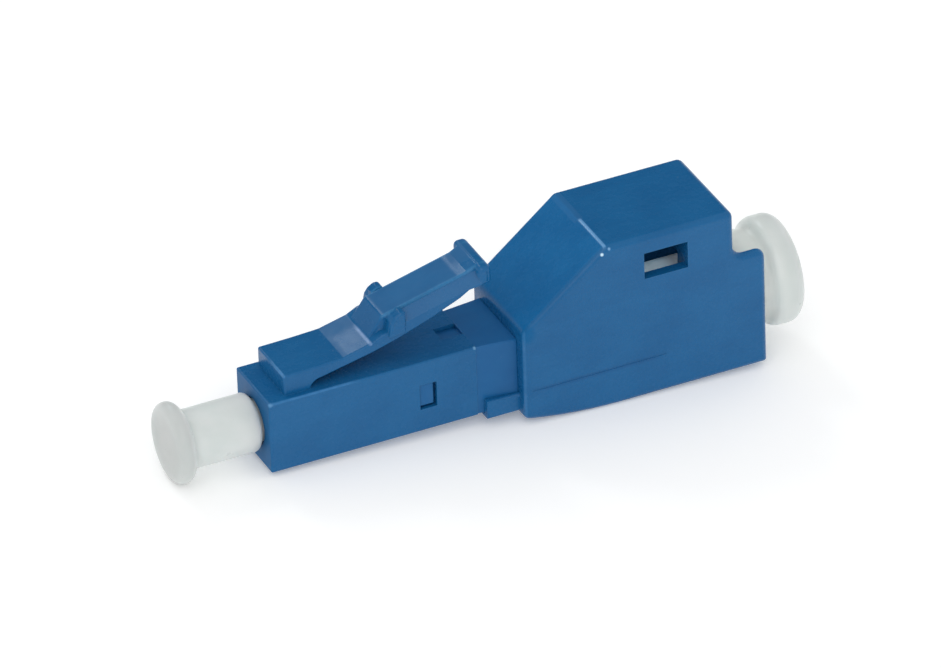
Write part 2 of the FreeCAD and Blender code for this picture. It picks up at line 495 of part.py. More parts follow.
# ---------------------------------------------------------------- write the solids
doc.recompute()
for o in doc.Objects:
    if "Invalid" in o.State or "Error" in o.State:
        raise RuntimeError("broken object: %s %s" % (o.Name, o.State))
os.makedirs("parts", exist_ok=True)
for o in (plug, latch, inner, rear, ferrule, fibre, flange, spring, sleeve, holder, front_cap, rear_cap):
    s = o.Shape
    if s.isNull() or not s.isValid() or len(s.Solids) != 1:
        raise RuntimeError("bad solid: %s null=%s valid=%s solids=%d" % (o.Label, s.isNull(), s.isValid(), len(s.Solids)))
    bb = s.BoundBox
    print("%-18s vol %8.3f  x %.2f..%.2f  y %.2f..%.2f  z %.2f..%.2f" % (o.Label, s.Volume, bb.XMin, bb.XMax, bb.YMin, bb.YMax, bb.ZMin, bb.ZMax))
    s.exportStep("parts/%s.step" % o.Label)
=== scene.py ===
import math

import bmesh
import bpy
import numpy as np
from mathutils import Matrix, Vector


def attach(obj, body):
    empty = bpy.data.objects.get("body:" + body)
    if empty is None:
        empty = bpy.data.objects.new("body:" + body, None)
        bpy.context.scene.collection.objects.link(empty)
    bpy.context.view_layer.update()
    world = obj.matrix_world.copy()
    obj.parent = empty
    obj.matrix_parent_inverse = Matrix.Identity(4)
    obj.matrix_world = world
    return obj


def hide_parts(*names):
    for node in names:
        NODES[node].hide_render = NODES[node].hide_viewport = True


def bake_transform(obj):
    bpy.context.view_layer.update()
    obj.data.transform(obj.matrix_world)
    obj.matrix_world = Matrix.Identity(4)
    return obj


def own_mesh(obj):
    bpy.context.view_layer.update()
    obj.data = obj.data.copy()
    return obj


# Plug-in fibre optic attenuator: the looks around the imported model.
# Lengths below are millimetres in the model's own frame unless a name ends in _m.

MM = 0.001
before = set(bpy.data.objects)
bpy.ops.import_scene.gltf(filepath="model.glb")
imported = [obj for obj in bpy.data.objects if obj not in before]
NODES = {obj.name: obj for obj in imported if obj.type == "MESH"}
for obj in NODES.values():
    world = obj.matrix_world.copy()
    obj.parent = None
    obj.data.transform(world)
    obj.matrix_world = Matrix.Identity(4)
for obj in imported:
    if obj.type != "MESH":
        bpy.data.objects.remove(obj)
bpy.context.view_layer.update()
scene = bpy.context.scene


# ------------------------------------------------------------------ mesh helpers
def add_object(name, mesh):
    o = bpy.data.objects.new(name, mesh)
    scene.collection.objects.link(o)
    return o


def shade(o, angle_deg=35.0):
    """Smooth shading that keeps true edges, with flat faces kept flat beside roundings."""
    me = o.data
    me.polygons.foreach_set("use_smooth", [True] * len(me.polygons))
    me.set_sharp_from_angle(angle=math.radians(angle_deg))
    w = o.modifiers.new("even_normals", "WEIGHTED_NORMAL")
    w.mode = "FACE_AREA"
    w.weight = 60
    w.keep_sharp = True
    return o


def from_node(node):
    """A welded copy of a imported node's mesh, with its coplanar triangles merged."""
    bm = bmesh.new()
    bm.from_mesh(NODES[node].data)
    bmesh.ops.remove_doubles(bm, verts=bm.verts[:], dist=2e-7)
    bmesh.ops.dissolve_limit(bm, angle_limit=math.radians(0.6), verts=bm.verts[:], edges=bm.edges[:])
    return bm


def soften(bm, width, least_deg=38.0, segments=3, pick=None):
    """Rounds the true edges of a moulding."""
    edges = []
    for e in bm.edges:
        if len(e.link_faces) != 2:
            continue
        if e.calc_face_angle(0.0) < math.radians(least_deg):
            continue
        if pick is not None and not pick(e):
            continue
        edges.append(e)
    bmesh.ops.bevel(bm, geom=edges, offset=width * MM, offset_type="OFFSET", segments=segments, profile=0.5, affect="EDGES", clamp_overlap=True)
    return bm


def close_bm(bm, name):
    me = bpy.data.meshes.new(name)
    bm.to_mesh(me)
    bm.free()
    return add_object(name, me)


def arc_pts(cx, cr, rad, a0, a1, n):
    """Points (x, r) of an arc about (cx, cr); angles in degrees, 0 along +x and 90 along +r."""
    return [(cx + rad * math.cos(math.radians(a0 + (a1 - a0) * i / n)), cr + rad * math.sin(math.radians(a0 + (a1 - a0) * i / n))) for i in range(n + 1)]


def lathe(name, profile, segs=144, z=0.0):
    """Closed solid of revolution about the X axis (lifted to z). The profile's ends lie on the axis or meet."""
    bm = bmesh.new()
    rings = []
    for x, r in profile:
        if r < 1e-6:
            rings.append([bm.verts.new((x * MM, 0.0, z * MM))])
        else:
            rings.append([bm.verts.new((x * MM, r * math.cos(2 * math.pi * k / segs) * MM, (z + r * math.sin(2 * math.pi * k / segs)) * MM)) for k in range(segs)])
    on_axis = len(rings[0]) == 1
    pairs = list(zip(rings, rings[1:])) + ([] if on_axis else [(rings[-1], rings[0])])
    for a, b in pairs:
        for k in range(segs):
            j = (k + 1) % segs
            if len(a) == 1 and len(b) == 1:
                continue
            if len(a) == 1:
                bm.faces.new((a[0], b[j], b[k]))
            elif len(b) == 1:
                bm.faces.new((a[k], a[j], b[0]))
            else:
                bm.faces.new((a[k], a[j], b[j], b[k]))
    bmesh.ops.recalc_face_normals(bm, faces=bm.faces[:])
    return close_bm(bm, name)


# ------------------------------------------------------------------ material helpers
class Tree:
    """Small helper for building shader trees."""

    def __init__(self, name, rest=False):
        self.mat = bpy.data.materials.new(name)
        self.mat.use_nodes = True
        self.nt = self.mat.node_tree
        self.bsdf = self.nt.nodes["Principled BSDF"]
        m = self.node("ShaderNodeMapping")
        m.inputs["Scale"].default_value = (1000.0, 1000.0, 1000.0)
        if rest:
            # a bending piece keeps its pattern where it is at rest
            at = self.node("ShaderNodeAttribute")
            at.attribute_name = "rest_place"
            self.link(at.outputs["Vector"], m.inputs["Vector"])
        else:
            tc = self.node("ShaderNodeTexCoord")
            self.link(tc.outputs["Object"], m.inputs["Vector"])
        self.mm = m.outputs["Vector"]

    def node(self, kind, **props):
        n = self.nt.nodes.new(kind)
        for k, v in props.items():
            setattr(n, k, v)
        return n

    def link(self, a, b):
        self.nt.links.new(a, b)

    def stretched(self, scale):
        m = self.node("ShaderNodeMapping")
        m.inputs["Scale"].default_value = scale
        self.link(self.mm, m.inputs["Vector"])
        return m.outputs["Vector"]

    def noise(self, scale, detail=2.0, rough=0.5, vec=None, distortion=0.0):
        n = self.node("ShaderNodeTexNoise")
        n.inputs["Scale"].default_value = scale
        n.inputs["Detail"].default_value = detail
        n.inputs["Roughness"].default_value = rough
        n.inputs["Distortion"].default_value = distortion
        self.link(self.mm if vec is None else vec, n.inputs["Vector"])
        return n.outputs["Fac"]

    def span(self, val, a, b, c, d, smooth=False):
        n = self.node("ShaderNodeMapRange")
        n.interpolation_type = "SMOOTHSTEP" if smooth else "LINEAR"
        n.clamp = True
        for k, v in zip(("From Min", "From Max", "To Min", "To Max"), (a, b, c, d)):
            n.inputs[k].default_value = v
        self.link(val, n.inputs["Value"])
        return n.outputs["Result"]

    def math(self, op, a, b=None, c=None):
        n = self.node("ShaderNodeMath", operation=op)
        for i, v in enumerate((a, b, c)):
            if v is None:
                continue
            if isinstance(v, (int, float)):
                n.inputs[i].default_value = v
            else:
                self.link(v, n.inputs[i])
        return n.outputs[0]

    def mix(self, fac, a, b, blend="MIX"):
        n = self.node("ShaderNodeMix", data_type="RGBA", blend_type=blend)
        if isinstance(fac, (int, float)):
            n.inputs[0].default_value = fac
        else:
            self.link(fac, n.inputs[0])
        for i, v in ((6, a), (7, b)):
            if isinstance(v, (tuple, list)):
                n.inputs[i].default_value = (*v, 1.0)
            else:
                self.link(v, n.inputs[i])
        return n.outputs[2]

    def axes(self):
        n = self.node("ShaderNodeSeparateXYZ")
        self.link(self.mm, n.inputs[0])
        return n.outputs

    def near(self, pairs, inner, outer):
        """1 close to a line along one axis: pairs of (axis output, place), falling to 0 between two distances."""
        total = None
        for a, at in pairs:
            d = self.math("SUBTRACT", a, at)
            d = self.math("MULTIPLY", d, d)
            total = d if total is None else self.math("ADD", total, d)
        return self.span(self.math("SQRT", total), inner, outer, 1.0, 0.0, True)

    def bump(self, height, strength, distance, normal=None):
        n = self.node("ShaderNodeBump")
        n.inputs["Strength"].default_value = strength
        n.inputs["Distance"].default_value = distance
        self.link(height, n.inputs["Height"])
        if normal is not None:
            self.link(normal, n.inputs["Normal"])
        return n.outputs["Normal"]

    def edges(self, radius_mm):
        """0 on flat ground, rising towards 1 on edges."""
        b = self.node("ShaderNodeBevel", samples=6)
        b.inputs["Radius"].default_value = radius_mm * MM
        g = self.node("ShaderNodeNewGeometry")
        d = self.node("ShaderNodeVectorMath", operation="DOT_PRODUCT")
        self.link(b.outputs["Normal"], d.inputs[0])
        self.link(g.outputs["Normal"], d.inputs[1])
        return self.math("SUBTRACT", 1.0, d.outputs["Value"])


def blue_plastic(name, deep, light, rough=(0.23, 0.31), kind=""):
    """Semi-gloss moulded engineering plastic with flow marks, fine mould grain and slightly rubbed edges; the plug,
    latch and housing kinds add painted highlights, painted glints and painted shade.
    """
    t = Tree(name, rest=kind == "latch")
    cloud = t.noise(0.32, 3.0, 0.55)
    flow = t.noise(0.9, 3.0, 0.6, vec=t.stretched((0.28, 1.0, 1.0)), distortion=0.6)
    tone = t.math("ADD", t.math("MULTIPLY", cloud, 0.6), t.math("MULTIPLY", flow, 0.4))
    colour = t.mix(t.span(tone, 0.35, 0.65, 0.0, 1.0, True), deep, light)
    rub = t.span(t.math("MULTIPLY", t.edges(0.10), t.span(t.noise(1.7, 4.0, 0.65), 0.3, 0.7, 0.35, 1.0)), 0.02, 0.30, 0.0, 0.30)
    if kind in ("plug", "latch"):
        # the latch root runs on unbroken from the plug to the arm
        ax = t.axes()
        aside = t.span(t.math("ABSOLUTE", t.math("SUBTRACT", ax[0], 3.2)), 0.11, 0.16, 0.0, 1.0)
        rub = t.math("MULTIPLY", rub, t.math("MAXIMUM", aside, t.span(ax[2], 2.30, 2.34, 1.0, 0.0)))
    colour = t.mix(rub, colour, (0.10, 0.30, 0.52))
    specks = t.node("ShaderNodeTexVoronoi")
    specks.inputs["Scale"].default_value = 0.85
    t.link(t.mm, specks.inputs["Vector"])
    chance = t.node("ShaderNodeSeparateColor")
    t.link(specks.outputs["Color"], chance.inputs[0])
    dust = t.math("MULTIPLY", t.span(specks.outputs["Distance"], 0.035, 0.06, 1.0, 0.0), t.math("GREATER_THAN", chance.outputs[0], 0.86))
    colour = t.mix(t.math("MULTIPLY", dust, 0.12), colour, (0.42, 0.52, 0.62))
    gloss = t.noise(2.4, 4.0, 0.6)
    r = t.span(gloss, 0.3, 0.7, rough[0], rough[1])
    # noise that breaks up the painted highlights below
    painted_highlight_breakup = t.span(t.noise(2.6, 3.0, 0.6), 0.3, 0.6, 0.6, 1.0)
    matt = None
    if kind == "plug":
        # painted highlights along the near upper edge over its front half, and on the near end of the latch root's
        # front edge
        ax = t.axes()
        painted_edge_highlight = t.math("MULTIPLY", t.near(((ax[1], -2.18), (ax[2], 2.23)), 0.04, 0.12), t.span(ax[0], 4.6, 5.8, 1.0, 0.0, True))
        colour = t.mix(t.math("MULTIPLY", painted_edge_highlight, t.math("MULTIPLY", painted_highlight_breakup, 0.75)), colour, (0.045, 0.20, 0.44))
        painted_edge_highlight = t.math("MULTIPLY", t.near(((ax[0], 1.19), (ax[2], 3.50)), 0.04, 0.13), t.span(ax[1], -1.0, 0.4, 1.0, 0.0, True))
        colour = t.mix(t.math("MULTIPLY", painted_edge_highlight, t.math("MULTIPLY", painted_highlight_breakup, 0.85)), colour, (0.060, 0.23, 0.48))
        # the nose face is spark-eroded
        matt = t.span(ax[0], 0.02, 0.06, 0.5, 0.0)
        r = t.math("ADD", r, t.math("MULTIPLY", matt, 0.4))
        # painted glints at the nose's near upper corner and at the plug's rear near upper corner
        for where, size, pale in (((0.10, -2.17, 2.20), 0.20, (0.10, 0.27, 0.50)), ((12.60, -2.17, 2.20), 0.15, (0.13, 0.31, 0.52))):
            d = t.node("ShaderNodeVectorMath", operation="DISTANCE")
            d.inputs[1].default_value = where
            t.link(t.mm, d.inputs[0])
            colour = t.mix(t.span(d.outputs["Value"], 0.3 * size, size, 0.9, 0.0, True), colour, pale)
    if kind == "latch":
        # the bend is polished on its near half and carries a painted highlight along its upper crease; the pressing
        # panel is spark-eroded
        ax = t.axes()
        bend = t.math("MULTIPLY", t.span(ax[0], 4.80, 4.90, 0.0, 1.0), t.span(ax[0], 6.45, 6.60, 1.0, 0.0))
        dull = t.math("MAXIMUM", t.span(ax[1], 0.05, 0.75, 0.0, 1.0, True), t.span(ax[0], 4.90, 5.25, 0.8, 0.0, True))
        r = t.math("ADD", r, t.math("MULTIPLY", t.math("MULTIPLY", bend, dull), 0.16))
        crease = t.math("MULTIPLY", t.near(((ax[0], 6.50), (ax[2], 4.06)), 0.05, 0.15), t.span(ax[1], -0.1, 0.7, 1.0, 0.0, True))
        colour = t.mix(t.math("MULTIPLY", crease, t.math("MULTIPLY", painted_highlight_breakup, 0.85)), colour, (0.17, 0.30, 0.54))
        inside = t.math("MULTIPLY", t.span(ax[0], 7.5, 7.75, 0.0, 1.0, True), t.span(ax[0], 12.05, 12.3, 1.0, 0.0, True))
        inside = t.math("MULTIPLY", inside, t.span(t.math("ABSOLUTE", ax[1]), 1.02, 1.18, 1.0, 0.0, True))
        inside = t.math("MULTIPLY", inside, t.span(ax[2], 5.2, 5.3, 0.0, 1.0))
        r = t.math("ADD", r, t.math("MULTIPLY", inside, 0.17))
        matt = inside
        # a painted highlight along the near upper edge of the rib
        top = t.math("SUBTRACT", ax[2], t.math("MULTIPLY_ADD", ax[0], 0.2576, 3.353))
        rim = t.math("MULTIPLY", t.near(((t.math("ABSOLUTE", ax[1]), 1.16), (top, 0.0)), 0.06, 0.20), t.span(ax[0], 7.3, 7.6, 0.0, 1.0, True))
        colour = t.mix(t.math("MULTIPLY", rim, t.math("MULTIPLY", painted_highlight_breakup, 0.55)), colour, (0.045, 0.215, 0.43))
        heel = t.math("MULTIPLY", t.span(ax[0], 12.3, 12.5, 0.0, 1.0, True), t.span(ax[1], -0.5, 0.4, 0.0, 1.0, True))
        r = t.math("ADD", r, t.math("MULTIPLY", heel, 0.17))
    if kind == "housing":
        # the sloping face is painted a shade lighter, as painted light
        g = t.node("ShaderNodeNewGeometry")
        d = t.node("ShaderNodeVectorMath", operation="DOT_PRODUCT")
        d.inputs[1].default_value = (-0.628, 0.0, 0.778)
        t.link(g.outputs["Normal"], d.inputs[0])
        colour = t.mix(t.span(d.outputs["Value"], 0.90, 0.99, 0.0, 1.0, True), colour, (1.14, 1.14, 1.14), "MULTIPLY")
        # a highlight is painted along the upper edge of the slope over its near half, the rest of that edge is dull,
        # and two painted glints sit at the corner
        ax = t.axes()
        high = t.span(ax[2], 6.90, 7.02, 0.0, 1.0, True)
        across = t.math("MULTIPLY", t.span(ax[1], -3.28, -3.12, 0.0, 1.0, True), t.span(ax[1], -0.12, 0.14, 1.0, 0.0, True))
        line = t.math("MULTIPLY", t.span(t.math("ABSOLUTE", t.math("SUBTRACT", ax[0], 20.27)), 0.05, 0.13, 1.0, 0.0, True), t.math("MULTIPLY", high, across))
        line = t.math("MULTIPLY", line, t.span(painted_highlight_breakup, 0.6, 1.0, 0.75, 1.0))
        colour = t.mix(line, colour, (0.125, 0.315, 0.575))
        # painted highlights on the upright front edges, and painted shade along the fine line low on the sides
        upright = t.near(((ax[0], 15.12), (t.math("ABSOLUTE", ax[1]), 3.235)), 0.05, 0.15)
        colour = t.mix(t.math("MULTIPLY", upright, t.math("MULTIPLY", painted_highlight_breakup, 0.55)), colour, (0.040, 0.19, 0.42))
        soft = t.span(t.math("ABSOLUTE", t.math("ADD", ax[2], 0.91)), 0.04, 0.22, 1.0, 0.0, True)
        soft = t.math("MULTIPLY", soft, t.math("MULTIPLY", t.span(ax[0], 15.4, 16.6, 0.0, 1.0, True), t.span(ax[0], 22.6, 24.0, 1.0, 0.0, True)))
        soft = t.math("MULTIPLY", soft, t.math("GREATER_THAN", t.math("ABSOLUTE", ax[1]), 3.3))
        colour = t.mix(soft, colour, (0.74, 0.84, 0.90), "MULTIPLY")
        dull = t.math("MULTIPLY", t.math("MULTIPLY", t.span(t.math("ABSOLUTE", t.math("SUBTRACT", ax[0], 20.22)), 0.18, 0.30, 1.0, 0.0, True), high), t.span(ax[1], -0.10, 0.16, 0.0, 1.0, True))
        r = t.math("ADD", r, t.math("MULTIPLY", dull, 0.5))
        matt = t.near(((ax[0], 15.28), (ax[2], 2.85)), 0.30, 0.70)
        # the two painted glints at the slope's near upper corner
        for where, size, pale in (((20.03, -3.36, 6.79), 0.135, (0.60, 0.82, 0.96)), ((20.49, -3.30, 7.01), 0.12, (0.17, 0.36, 0.60))):
            d = t.node("ShaderNodeVectorMath", operation="DISTANCE")
            d.inputs[1].default_value = where
            t.link(t.mm, d.inputs[0])
            colour = t.mix(t.span(d.outputs["Value"], 0.35 * size, size, 1.0, 0.0, True), colour, pale)
    t.link(colour, t.bsdf.inputs["Base Color"])
    t.link(r, t.bsdf.inputs["Roughness"])
    grain = t.noise(7.5, 3.0, 0.6)
    n = t.bump(grain, 0.30, 2.2e-6)
    n = t.bump(t.noise(0.55, 2.0, 0.5), 0.30, 1.2e-5, n)
    t.link(n, t.bsdf.inputs["Normal"])
    t.bsdf.inputs["Specular IOR Level"].default_value = 0.27
    if matt is not None:
        t.link(t.span(matt, 0.0, 1.0, 0.27, 0.12), t.bsdf.inputs["Specular IOR Level"])
    t.bsdf.inputs["IOR"].default_value = 1.5
    return t.mat


def soft_white(name):
    """Soft polyethylene: milky, a little translucent, waxy."""
    t = Tree(name)
    cloud = t.noise(0.5, 3.0, 0.5)
    colour = t.mix(t.span(cloud, 0.35, 0.65, 0.0, 1.0, True), (0.645, 0.682, 0.668), (0.685, 0.712, 0.700))
    ax = t.axes()
    # painted shade: the pulling disc's face is a shade greyer
    colour = t.mix(t.span(ax[0], -4.75, -4.30, 1.0, 0.0, True), colour, (0.76, 0.75, 0.75), "MULTIPLY")
    # painted shade: the rear plug outside the housing is a shade darker
    colour = t.mix(t.span(ax[0], 27.5, 28.2, 0.0, 1.0), colour, (0.89, 0.89, 0.89), "MULTIPLY")
    t.link(colour, t.bsdf.inputs["Base Color"])
    t.link(t.span(t.noise(1.6, 4.0, 0.6), 0.3, 0.7, 0.27, 0.36), t.bsdf.inputs["Roughness"])
    # painted glow: the milky plug's inner end behind the window glows a faint blue
    painted_glow_mask = t.math("MULTIPLY", t.span(ax[0], 23.5, 23.9, 0.0, 1.0), t.span(ax[0], 25.2, 26.2, 1.0, 0.0, True))
    painted_glow_mask = t.math("MULTIPLY", painted_glow_mask, t.span(ax[2], 1.5, 2.1, 0.0, 1.0, True))
    glow = t.mix(painted_glow_mask, (0.0, 0.0, 0.0), (0.072, 0.112, 0.136))
    # and a painted glow on its thick head and in the groove before the housing
    painted_glow_mask = t.math("MULTIPLY", t.span(ax[0], 28.6, 30.2, 0.0, 1.0, True), t.span(ax[0], 30.7, 32.7, 1.0, 0.0, True))
    painted_glow_mask = t.math("MULTIPLY", painted_glow_mask, t.span(ax[2], 0.0, 2.6, 0.62, 1.0, True))
    glow = t.mix(painted_glow_mask, glow, (0.158, 0.166, 0.144))
    t.link(glow, t.bsdf.inputs["Emission Color"])
    t.bsdf.inputs["Emission Strength"].default_value = 1.0
    n = t.bump(t.noise(5.5, 3.0, 0.6), 0.35, 1.2e-6)
    n = t.bump(t.noise(0.6, 2.0, 0.5), 0.4, 1.2e-5, n)
    t.link(n, t.bsdf.inputs["Normal"])
    t.bsdf.inputs["Subsurface Weight"].default_value = 1.0
    t.bsdf.inputs["Subsurface Radius"].default_value = (0.93, 1.0, 1.0)
    t.bsdf.inputs["Subsurface Scale"].default_value = 0.0018
    t.bsdf.inputs["Specular IOR Level"].default_value = 0.45
    return t.mat


def ceramic(name):
    t = Tree(name)
    colour = t.mix(t.span(t.noise(0.8, 3.0, 0.5), 0.35, 0.65, 0.0, 1.0, True), (0.83, 0.815, 0.76), (0.88, 0.87, 0.82))
    t.link(colour, t.bsdf.inputs["Base Color"])
    t.link(t.span(t.noise(9.0, 3.0, 0.6, vec=t.stretched((3.0, 1.0, 1.0))), 0.3, 0.7, 0.10, 0.22), t.bsdf.inputs["Roughness"])
    t.link(t.bump(t.noise(14.0, 2.0, 0.5, vec=t.stretched((4.0, 0.6, 0.6))), 0.3, 8.0e-7), t.bsdf.inputs["Normal"])
    t.bsdf.inputs["Specular IOR Level"].default_value = 0.8
    return t.mat


def glass_core(name):
    t = Tree(name)
    colour = t.mix(t.span(t.noise(30.0, 2.0, 0.5), 0.3, 0.7, 0.0, 1.0), (0.20, 0.23, 0.25), (0.30, 0.33, 0.34))
    t.link(colour, t.bsdf.inputs["Base Color"])
    t.link(t.span(t.noise(18.0, 2.0, 0.5), 0.3, 0.7, 0.05, 0.12), t.bsdf.inputs["Roughness"])
    return t.mat


def turned_steel(name):
    t = Tree(name)
    lines = t.noise(16.0, 3.0, 0.6, vec=t.stretched((1.0, 0.08, 0.08)))
    colour = t.mix(t.span(lines, 0.3, 0.7, 0.0, 1.0), (0.52, 0.52, 0.51), (0.66, 0.66, 0.65))
    t.link(colour, t.bsdf.inputs["Base Color"])
    t.link(t.span(lines, 0.3, 0.7, 0.22, 0.38), t.bsdf.inputs["Roughness"])
    t.link(t.bump(lines, 0.4, 1.5e-6), t.bsdf.inputs["Normal"])
    t.bsdf.inputs["Metallic"].default_value = 1.0
    return t.mat


SHELL_DEEP, SHELL_LIGHT = (0.0055, 0.103, 0.272), (0.0075, 0.117, 0.298)
shell_mat = blue_plastic("moulded_blue", SHELL_DEEP, SHELL_LIGHT, kind="plug")
latch_mat = blue_plastic("moulded_blue_latch", SHELL_DEEP, SHELL_LIGHT, rough=(0.22, 0.30), kind="latch")
housing_mat = blue_plastic("moulded_blue_housing", SHELL_DEEP, SHELL_LIGHT, kind="housing")
core_mat = blue_plastic("moulded_blue_core", (0.0055, 0.100, 0.278), (0.0075, 0.114, 0.302), rough=(0.30, 0.40))
cap_mat = soft_white("soft_white")
ceramic_mat = ceramic("ground_ceramic")
glass_mat = glass_core("fibre_glass")
steel_mat = turned_steel("turned_steel")


def dress(o, mat):
    o.data.materials.clear()
    o.data.materials.append(mat)
    return o


def piece(o, mat, body, node, sharp=35.0):
    dress(o, mat)
    shade(o, sharp)
    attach(o, body)
    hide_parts(node)
    return o


# ------------------------------------------------------------------ mouldings
SPLIT_X = 3.2


def off_split(e):
    return not all(abs(v.co.x / MM - SPLIT_X) < 0.02 for v in e.verts)


bm = soften(from_node("rear_housing"), 0.045)
rear_housing = piece(close_bm(bm, "rear_housing_shell"), housing_mat, "shell", "rear_housing")

bm = soften(from_node("plug_housing"), 0.04, pick=off_split)
plug_housing = piece(close_bm(bm, "plug_housing_shell"), shell_mat, "shell", "plug_housing")

bm = soften(from_node("inner_body"), 0.035)
inner_body = piece(close_bm(bm, "inner_body_core"), core_mat, "shell", "inner_body")

# the latch is one moulding with the plug; its root is sliced into narrow bands
def plain_latch_edge(e):
    """Edges away from the split, the locking ears and the thumb lip, which are round already."""
    mid = (e.verts[0].co + e.verts[1].co) * (0.5 / MM)
    return off_split(e) and mid.x < 13.05 and not (7.3 < mid.x < 8.9 and abs(mid.y) > 1.15)


bm = soften(from_node("latch_arm"), 0.05, least_deg=38.0, segments=2, pick=plain_latch_edge)
x = SPLIT_X + 0.12
while x < 7.2:
    bmesh.ops.bisect_plane(bm, geom=bm.verts[:] + bm.edges[:] + bm.faces[:], dist=1e-8, plane_co=(x * MM, 0, 0), plane_no=(1, 0, 0))
    x += 0.14
latch = close_bm(bm, "latch_flex")
rest_place = latch.data.attributes.new("rest_place", "FLOAT_VECTOR", "POINT")
for i, v in enumerate(latch.data.vertices):
    rest_place.data[i].vector = v.co
dress(latch, latch_mat)
shade(latch, 35.0)
# the flat sides of the locking ears stay flat
for poly in latch.data.polygons:
    c = poly.center / MM
    if 7.3 < c.x < 8.9 and abs(c.y) > 1.8 and poly.area > 0.1 * MM * MM:
        poly.use_smooth = False
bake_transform(latch)
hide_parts("latch_arm")

# ------------------------------------------------------------------ turned and round pieces
# front dust cap
prof = [(-5.37, 0.0), (-5.37, 1.0)] + arc_pts(-4.87, 1.87, 0.5, 180, 90, 12) + arc_pts(-4.83, 1.87, 0.5, 90, 0, 12)
prof += arc_pts(-4.11, 1.93, 0.22, 180, 270, 8)
prof += [(-3.0, 1.71), (-2.0, 1.71), (-1.0, 1.71), (-0.66, 1.71)] + arc_pts(-0.46, 1.39, 0.32, 90, 0, 10) + [(-0.14, 1.31)] + arc_pts(-0.09, 1.30, 0.05, 180, 270, 4)
prof += [(1.5, 1.25), (3.72, 1.25), (3.86, 1.21), (3.96, 1.13), (4.0, 1.05), (4.0, 0.78), (3.92, 0.68), (3.8, 0.66), (-1.1, 0.66), (-1.2, 0.56), (-1.2, 0.0)]
front_cap = piece(lathe("front_cap_soft", prof), cap_mat, "front_cap", "front_dust_cap")

# rear dust plug
RZ = 0.44
prof = [(32.8, 0.0), (32.8, 1.2)] + arc_pts(32.2, 2.59, 0.6, 0, 90, 14) + arc_pts(31.608, 2.49, 0.70, 90, 137.4, 12)
prof += arc_pts(30.586, 3.30, 0.60, -42.6, -90, 10) + [(29.5, 2.70), (28.4, 2.70)] + arc_pts(28.33, 2.62, 0.08, 90, 180, 4) + [(28.25, 2.34)] + arc_pts(28.17, 2.34, 0.08, 0, -90, 4)
prof += [(27.0, 2.26), (25.0, 2.26), (24.25, 2.255), (24.07, 2.16), (23.97, 2.05), (23.95, 1.95), (23.95, 1.70), (24.05, 1.62), (24.25, 1.60), (30.1, 1.60), (30.2, 1.5), (30.2, 0.0)]
rear_plug = piece(lathe("rear_plug_soft", prof, z=RZ), cap_mat, "rear_plug", "rear_dust_plug")

# ferrule with its polished, slightly domed ends
prof = [(-0.40, 0.0625), (-0.395, 0.30), (-0.37, 0.44), (-0.33, 0.50), (-0.02, 0.60), (0.05, 0.6235), (0.3, 0.6245), (8.0, 0.6245), (15.7, 0.6245),
        (15.95, 0.6235), (16.02, 0.60), (16.33, 0.50), (16.37, 0.44), (16.395, 0.30), (16.40, 0.0625)]
ferrule = piece(lathe("ferrule_ground", prof, 96), ceramic_mat, "ferrule_group", "ferrule")

prof = [(-0.40, 0.0), (-0.40, 0.05), (-0.395, 0.0624), (4.0, 0.0624), (12.0, 0.0624), (16.395, 0.0624), (16.40, 0.05), (16.40, 0.0)]
fibre = piece(lathe("fibre_core", prof, 32), glass_mat, "ferrule_group", "attenuating_fibre")

# sleeve holder
prof = [(13.05, 0.86), (13.09, 0.82), (19.45, 0.82), (19.45, 0.74), (19.49, 0.70), (19.72, 0.70), (19.8, 0.78), (19.8, 1.16), (19.77, 1.23), (19.57, 1.43), (19.50, 1.45),
        (18.0, 1.45), (15.95, 1.45), (15.95, 1.86), (15.91, 1.90), (15.59, 1.90), (15.55, 1.86), (15.55, 1.45), (13.09, 1.45), (13.05, 1.41)]
holder = piece(lathe("sleeve_holder_tube", prof, 96), core_mat, "shell", "sleeve_holder")


# coil spring with closed, ground ends
def coil(name, x0, x1, rad, wire, turns=7.0, around=14, per_turn=44):
    bm = bmesh.new()
    n = int(turns * per_turn)
    rings = []
    lead = lambda s: s  # noqa: E731
    span = x1 - x0 - 2 * wire
    for i in range(n + 1):
        s = i / n
        a = 2 * math.pi * turns * s
        # closed end coils: the lead flattens near both ends
        k = 0.13
        e = s - k / (2 * math.pi) * math.sin(2 * math.pi * s)
        p = Vector((x0 + wire + span * lead(e), rad * math.cos(a), rad * math.sin(a)))
        out = Vector((0, math.cos(a), math.sin(a)))
        ring = []
        for j in range(around):
            b = 2 * math.pi * j / around
            q = p + out * (wire * math.cos(b)) + Vector((1, 0, 0)) * (wire * math.sin(b))
            ring.append(bm.verts.new(q * MM))
        rings.append(ring)
    for r0, r1 in zip(rings, rings[1:]):
        for j in range(around):
            bm.faces.new((r0[j], r1[j], r1[(j + 1) % around], r0[(j + 1) % around]))
    bm.faces.new(rings[0])
    bm.faces.new(rings[-1][::-1])
    bmesh.ops.recalc_face_normals(bm, faces=bm.faces[:])
    return close_bm(bm, name)


spring = coil("spring_coil", 7.0, 12.3, 1.22, 0.155)
dress(spring, steel_mat)
shade(spring, 50.0)
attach(spring, "shell")
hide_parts("ferrule_spring")
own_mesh(spring)

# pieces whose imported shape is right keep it
dress(NODES["ferrule_flange"], steel_mat)
dress(NODES["split_sleeve"], ceramic_mat)

